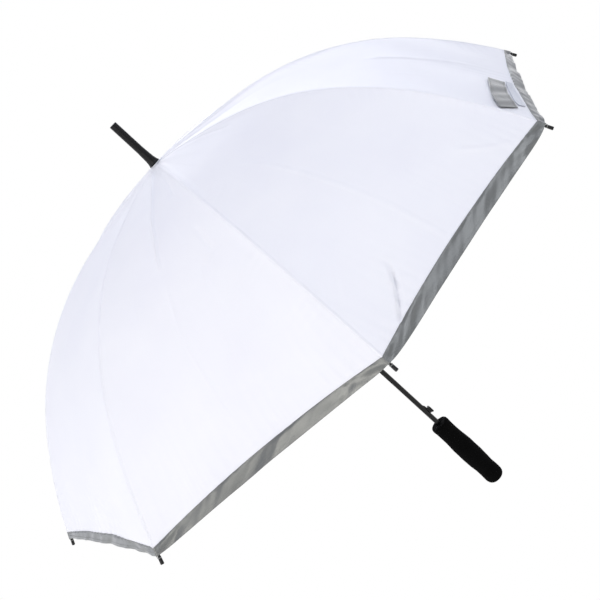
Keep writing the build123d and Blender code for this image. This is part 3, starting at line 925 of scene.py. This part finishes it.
def sewStrap():
    # stitches round the strap, just inside its edges
    t = np.linspace(0.02, 0.98, 120)
    lines = []
    for share in (0.1, 0.9):
        inner, outer = edgeCurve(strap["inner"], t), edgeCurve(strap["outer"], t)
        x, y, along, u, ground = placeOn(inner * (1 - share) + outer * share)
        height = ground + strap["lift"] + strapWave(x, y, t) + binding["height"]
        lines.append(surface(strap["gore"], u, along, height))
    sewn = sew("strapStitches", lines, greyThread)
    followCloth(sewn)


sewStrap()
print("closing strap made")

driveSpring = {
    "Turns": 60.0,
    "Wire": 0.35 * mm,
    "Resolution": 18,
}
buttonSpring = {
    "Turns": 6.0,
    "Wire": 0.17 * mm,
    "Resolution": 16,
    "Radius": 1.0 * mm,
    "Height": 3.6 * mm,
}
springPlay = {
    "packed": 46.15 / 429.4,  # the drive spring's length closed over its length open
    "buttonStart": -2.7 * mm,
    "buttonTravel": 2.5 * mm,
}


def makeSpring(name, coil, turned, node):
    spring = runTree(linePiece(name, []), springs, {**coil, "Material": wireSteel})
    spring.data.transform(turned)
    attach(spring, "shaft")
    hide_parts(node)
    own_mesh(spring)


low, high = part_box("drive_spring")
wire = driveSpring["Wire"]
coil = {**driveSpring, "Radius": high.x - wire, "Height": high.z - low.z - 2 * wire}
lifted = Matrix.Translation((0, 0, low.z + wire))
makeSpring(
    "driveSpring", coil, lifted, "drive_spring"
)
pressAxis = -Vector(joints["button_press"]["axis"])
low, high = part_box("button_spring")
seat = pressAxis * springPlay["buttonStart"] + Vector((0, 0, (low.z + high.z) / 2))
turned = Matrix.Translation(seat) @ pressAxis.to_track_quat("Z", "Y").to_matrix().to_4x4()
makeSpring("buttonSpring", buttonSpring, turned, "button_spring")

# moulded cap on each rib end: a straight sleeve, a groove that the thread runs in, and a blunt nose
tipProfile = [
    (1.7, 0.0), (2.15, 0.1), (2.3, 0.35), (2.3, 1.5), (2.0, 1.75), (2.0, 2.55), (2.3, 2.8), (2.32, 5.0),
    (2.36, 8.6), (2.36, 9.5), (2.22, 10.0), (1.9, 10.28), (1.4, 10.38), (1.3, 10.15), (0.5, 10.12),
]
tip = {
    "along": 1.2 * mm,
    "depth": 2.7 * mm,
    "sides": 28,
    "neck": 2.0 * mm,
    "threadAt": 1.9 * mm,
    "threadStep": 0.3 * mm,
    "threadTurns": 3,
    # the loop that holds the cloth's corner: along the cap, beside it and above it, in mm
    "loop": [(2.2, 1.2, 1.75), (0.9, 1.35, 2.45), (-0.6, 1.3, 2.75), (-1.6, 1.2, 2.3)],
}
rivet = {
    "ear": 2.4 * mm,  # half the fork's width
    "sides": 20,
    "dome": [(1.15, 0), (1.15, 0.12), (1.0, 0.35), (0.6, 0.5), (0.2, 0.55)],
}
endSlope = float(np.interp(meridianLength, alongTable, slopeTable))


def ribEnd(number, forward, depth):
    # a point beside the end of a rib: forward along it, and below the cloth
    r = rimRadius + forward * math.cos(endSlope) - depth * math.sin(endSlope)
    z = apexHeight - np.interp(meridianLength, alongTable, dropTable)
    z += -forward * math.sin(endSlope) - depth * math.cos(endSlope)
    return Vector(r * outward(ribAzimuth(number))) + Vector((0, 0, z))


def tubeTree():
    # a round tube along every line of the input mesh
    tree, given, output = newTree(
        "threadTube", {"Thread": ("NodeSocketFloat", 0.3 * mm), "Material": ("NodeSocketMaterial", None)}
    )
    line = addNode(tree, "GeometryNodeMeshToCurve", {}, {"Mesh": given.outputs["Geometry"]})
    section = addNode(
        tree, "GeometryNodeCurvePrimitiveCircle", {"Resolution": 6}, {"Radius": given.outputs["Thread"]}
    )
    tube = addNode(
        tree,
        "GeometryNodeCurveToMesh",
        {"Fill Caps": True},
        {"Curve": line.outputs["Curve"], "Profile Curve": section.outputs["Curve"]},
    )
    finishTree(tree, output, tube.outputs["Mesh"], given.outputs["Material"])
    return tree


tubes = tubeTree()
tie = {
    "places": [95 * mm, 180 * mm, 262 * mm, 345 * mm, 430 * mm, 520 * mm],
    "turns": 4,
    "thread": 0.17 * mm,
    "pitch": 0.42 * mm,
    "halfWidth": 1.62 * mm,
    "top": 0.35 * mm,
    "bottom": 4.35 * mm,
}


def tieLine(number, start):
    # thread wound round the rib and the seam's allowance, as a square spiral
    corners = [(-1, 0), (1, 0), (1, 1), (-1, 1)]
    line = []
    for n in range(4 * tie["turns"] + 1):
        side, low = corners[n % 4]
        along = np.array([start + n * tie["pitch"] / 4])
        depth = tie["bottom"] if low else tie["top"]
        middle = seamLine(number, along, np.array([0.0]), np.array([-depth]))[0]
        line.append(middle + side * tie["halfWidth"] * around(ribAzimuth(number)))
    return line


def makeRibDetails(number):
    azimuth = ribAzimuth(number)
    base = ribEnd(number, tip["along"], tip["depth"])
    axis = (ribEnd(number, 1.0, 0) - ribEnd(number, 0.0, 0)).normalized()
    profile = [(r * mm, h * mm) for r, h in tipProfile]
    cap = lathe(f"ribTip{number}", profile, mouldedNylon, base, axis, tip["sides"])
    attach(cap, f"rib_{number}")
    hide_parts(f"tip_{number}")
    # thread holds the cloth's corner to the cap's neck
    side = Vector(around(azimuth))
    up = axis.cross(side).normalized()
    if up.z < 0:
        up = -up
    lines = []
    turns = [2 * math.pi * n / 20 for n in range(21)]
    spokes = [(side * math.cos(t) + up * math.sin(t)) * (tip["neck"] + 0.12 * mm) for t in turns]
    for step in range(tip["threadTurns"]):
        middle = base + axis * (tip["threadAt"] + tip["threadStep"] * step)
        lines.append([middle + spoke for spoke in spokes])
    for s in (-1, 1):
        lines.append([base + (axis * a + side * s * b + up * c) * mm for a, b, c in tip["loop"]])
    ties = [tieLine(number, start) for start in tie["places"]]
    for name, runs, thread, slot in (
        ("tipThread", lines, greyThread, "border_cloth"),
        ("ribTies", ties, whiteThread, "canopy_cloth"),
    ):
        inputs = {"Thread": tie["thread"], "Material": thread}
        threads = runTree(linePiece(f"{name}{number}", runs), tubes, inputs)
        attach(threads, f"rib_{number}")
    # domed rivet heads on both sides of the stretcher's fork
    joint = Vector(joints[f"stretcher_{number}_fold"]["pos_m"])
    dome = [(r * mm, h * mm) for r, h in rivet["dome"]]
    for s, label in ((-1, "A"), (1, "B")):
        place = joint + side * s * rivet["ear"]
        head = lathe(f"rivet{number}{label}", dome, wireSteel, place, side * s, rivet["sides"])
        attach(head, f"stretcher_{number}")


for number in range(1, ribCount + 1):
    makeRibDetails(number)
print("tips, ties, rivets and springs made")

grip = {
    "levels": 300,
    "sides": 128,
    "skin": (0.1 * mm, 2.2 * mm),  # height and length of the unevenness
    "swell": (0.12 * mm, 20 * mm),
    "radius": 15 * mm,
    # the ends, as radius and height: the upper turns in to the core, the lower to the plug's recess
    "rounded": (0.5 * mm, 0.15 * mm),
    "top": [(11.2 * mm, 0.1 * mm), (4.3 * mm, 0.0), (4.1 * mm, -1.2 * mm)],
    "bottom": [(4.1 * mm, 5.4 * mm), (6.95 * mm, 4.4 * mm), (6.95 * mm, 0.3 * mm), (7.35 * mm, -0.02 * mm)],
    "lowerRounded": (0.4 * mm, -0.05 * mm),
}


def makeGrip():
    # the outline is the CAD node's own, made finer; the skin is slightly uneven as skived foam is
    data = frame["nodes"]["foam_grip"].data
    points = np.array([v.co for v in data.vertices])
    radius = np.hypot(points[:, 0], points[:, 1])
    outer = {}
    for z, r in zip(np.round(points[:, 2], 5), radius):
        outer[z] = max(outer.get(z, 0), r)
    heights = np.array(sorted(outer))
    radii = np.array([outer[z] for z in heights])
    z = np.linspace(heights[0], heights[-1], grip["levels"])
    r = np.interp(z, heights, radii)
    angle = np.linspace(0, 2 * math.pi, grip["sides"], endpoint=False)
    turned = angle[None, :] * grip["radius"]
    height, length = grip["skin"]
    wide = r[:, None] + height * waves(z[:, None], turned, seeds["foamSkin"], length, 9)
    height, length = grip["swell"]
    wide += height * waves(z[:, None], turned, seeds["foamSwell"], length)

    def ring(radius, level):
        return np.stack([radius * np.cos(angle), radius * np.sin(angle), 0 * angle + level], -1)

    inwards, up = grip["rounded"]
    top = [ring(r[-1] - inwards, z[-1] + up)] + [ring(a, z[-1] + b) for a, b in grip["top"]]
    inwards, up = grip["lowerRounded"]
    bottom = [ring(a, z[0] + b) for a, b in grip["bottom"]] + [ring(r[0] - inwards, z[0] + up)]
    x, y = wide * np.cos(angle), wide * np.sin(angle)
    skin = np.stack([x, y, np.broadcast_to(z[:, None], x.shape)], -1)
    points = np.concatenate([np.array(bottom), skin, np.array(top)])
    faces = [tuple(reversed(f)) for f in gridFaces(points.shape[0], grip["sides"], closed=True)]
    # the last ring joins the first, up the inside
    last, sides = (points.shape[0] - 1) * grip["sides"], grip["sides"]
    for n in range(sides):
        k = (n + 1) % sides
        faces.append((last + n, last + k, k, n))
    foam = makeMesh("foamGrip", points.reshape(-1, 3), faces, evaFoam)
    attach(foam, "shaft")
    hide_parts("foam_grip")


makeGrip()

washer = {"teeth": 36, "depth": 0.05, "height": 0.45 * mm}
low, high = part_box("top_washer")


def pinked(radius, angle):
    # the cloth washer's zigzag edge
    if radius < high.x * 0.8:
        return 1
    return 1 - washer["depth"] * abs(((angle * washer["teeth"] / math.pi) % 2) - 1)


profile = [
    (high.x * 0.99, low.z),
    (high.x, low.z + 0.1 * mm),
    (high.x, low.z + washer["height"]),
    (9.0 * mm, low.z + 0.8 * mm),
    (8.6 * mm, high.z),
    (4.2 * mm, high.z),
]
hubWasher = lathe("hubWasher", profile, whitePongee, sides=144, scallop=pinked)
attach(hubWasher, "shaft")
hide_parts("top_washer")
print("grip and hub made")

camera = {
    "location": (1.4844, -0.6572, 0.8366),
    "forward": (-0.86212, 0.42244, -0.27982),
    "up": (0.14961, 0.73981, 0.65596),
    "lens": 66.0,
    "shift": (-0.064, -0.040),
}


def makeCamera():
    data = bpy.data.cameras.new("camera")
    data.sensor_width = 36
    data.lens = camera["lens"]
    data.shift_x, data.shift_y = camera["shift"]
    data.clip_start, data.clip_end = 0.05, 100
    eye = bpy.data.objects.new("camera", data)
    bpy.context.scene.collection.objects.link(eye)
    back = -Vector(camera["forward"]).normalized()
    up = Vector(camera["up"])
    right = up.cross(back).normalized()
    up = back.cross(right)
    eye.matrix_world = Matrix((right, up, back)).transposed().to_4x4()
    eye.location = camera["location"]
    bpy.context.scene.camera = eye
    return right, up, back


right, up, back = makeCamera()

# each lamp stands this way from the middle: to the right, up and towards the camera
studio = {
    "fill": "#eceffd",
    "fillFrom": (-0.862, 0.422, -0.28),  # the backdrop's side, which is the brighter one
    "fillRange": (0.36, 0.96),
    "lamps": {
        "key": {"from": (-0.5, -0.17, 0.85), "size": 1.8, "power": 26.0, "color": "#fffaf2"},
        "rear": {"from": (-0.12, 0.5, -0.86), "size": 2.4, "power": 34.0, "color": "#fdfdff"},
        "top": {"from": (0.1, 0.8, 0.6), "size": 1.6, "power": 17.0, "color": "#f6f8ff"},
        "side": {"from": (0.75, -0.5, 0.43), "size": 1.4, "power": 5.0, "color": "#ffffff"},
        "left": {"from": (-0.85, -0.45, -0.1), "size": 1.4, "power": 11.0, "color": "#fdfdff"},
    },
    "middle": (0, 0, 0.45),
    "distance": 2.6,
    "floorDrop": 1.9,
}


def makeStudio():
    world = bpy.data.worlds.new("studio")
    bpy.context.scene.world = world
    world.use_nodes = True
    tree = world.node_tree
    tree.nodes.clear()
    seen = addNode(tree, "ShaderNodeLightPath").outputs["Is Camera Ray"]
    direction = addNode(tree, "ShaderNodeTexCoord").outputs["Generated"]
    towards = addNode(
        tree, "ShaderNodeVectorMath", {"operation": "DOT_PRODUCT", 1: studio["fillFrom"]}, {0: direction}
    )
    low, high = studio["fillRange"]
    span = {"From Min": -1.0, "From Max": 1.0, "To Min": low, "To Max": high}
    scaled = addNode(tree, "ShaderNodeMapRange", span, {"Value": towards.outputs["Value"]})
    strength = scaled.outputs["Result"]
    fill = addNode(tree, "ShaderNodeBackground", {"Color": linear(studio["fill"])}, {"Strength": strength})
    white = addNode(tree, "ShaderNodeBackground", {"Color": linear("#ffffff"), "Strength": 1.0})
    both = {"Fac": seen, 1: fill.outputs["Background"], 2: white.outputs["Background"]}
    light = addNode(tree, "ShaderNodeMixShader", {}, both)
    addNode(tree, "ShaderNodeOutputWorld", {}, {"Surface": light.outputs["Shader"]})
    middle = Vector(studio["middle"])
    for name, lamp in studio["lamps"].items():
        data = bpy.data.lights.new(name, "AREA")
        data.shape = "DISK"
        data.size = lamp["size"]
        data.energy = lamp["power"]
        data.color = linear(lamp["color"])[:3]
        x, y, z = lamp["from"]
        way = (right * x + up * y + back * z).normalized()
        box = bpy.data.objects.new(name, data)
        bpy.context.scene.collection.objects.link(box)
        box.location = middle + way * studio["distance"]
        box.rotation_mode = "QUATERNION"
        box.rotation_quaternion = way.to_track_quat("Z", "Y")
    white = bpy.data.materials.new("paleFloor")
    white.use_nodes = True
    tree = white.node_tree
    tree.nodes.clear()
    glow = addNode(tree, "ShaderNodeEmission", {"Color": linear("#ffffff"), "Strength": 1.0})
    addNode(tree, "ShaderNodeOutputMaterial", {}, {"Surface": glow.outputs["Emission"]})
    z = cadBox[0].z - studio["floorDrop"]
    floor = makeMesh("floor", [(-30, -30, z), (30, -30, z), (30, 30, z), (-30, 30, z)], [(0, 1, 2, 3)], white)


makeStudio()
bpy.context.scene.view_settings.view_transform = "Standard"
print("camera and studio made")
